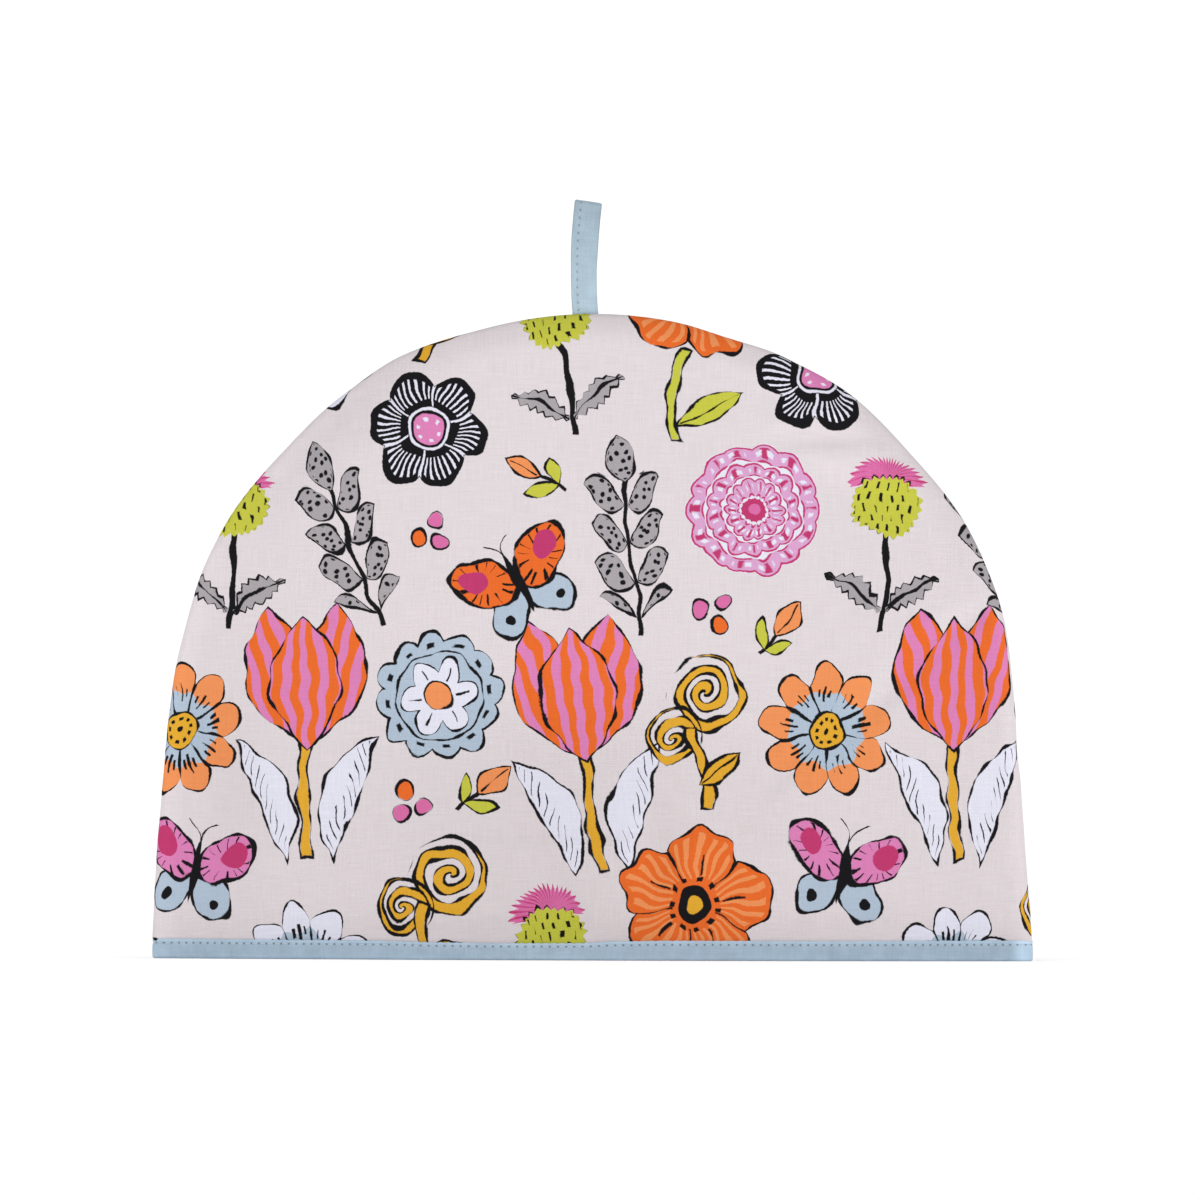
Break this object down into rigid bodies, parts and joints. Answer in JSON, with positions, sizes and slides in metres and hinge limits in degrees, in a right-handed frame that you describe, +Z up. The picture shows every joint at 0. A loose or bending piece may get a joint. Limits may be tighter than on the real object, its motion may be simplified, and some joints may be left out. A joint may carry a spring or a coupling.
{
  "type": "tea cosy",
  "caption": "Dome-shaped wadded cloth tea cosy, standing opened on its bound hem, with a folded hanging loop at the top of its seam.",
  "frame": {"origin": "on the surface it stands on, under the middle of the hem", "axes": "+X across the face to the right as the front is seen, +Y from front to back (the front panel faces -Y), +Z up to the hanging loop"},
  "size_m": [0.35, 0.106, 0.3036],
  "materials": {
    "printed_cotton": "matt printed cotton over wadding, blush ground",
    "binding_cotton": "matt plain grey-blue cotton",
    "loop_cotton": "matt plain light blue cotton"
  },
  "bodies": {
    "root": {"front_panel": "printed_cotton", "back_panel": "printed_cotton", "hem_binding": "binding_cotton", "hanging_loop": "loop_cotton"}
  },
  "joints": []
}
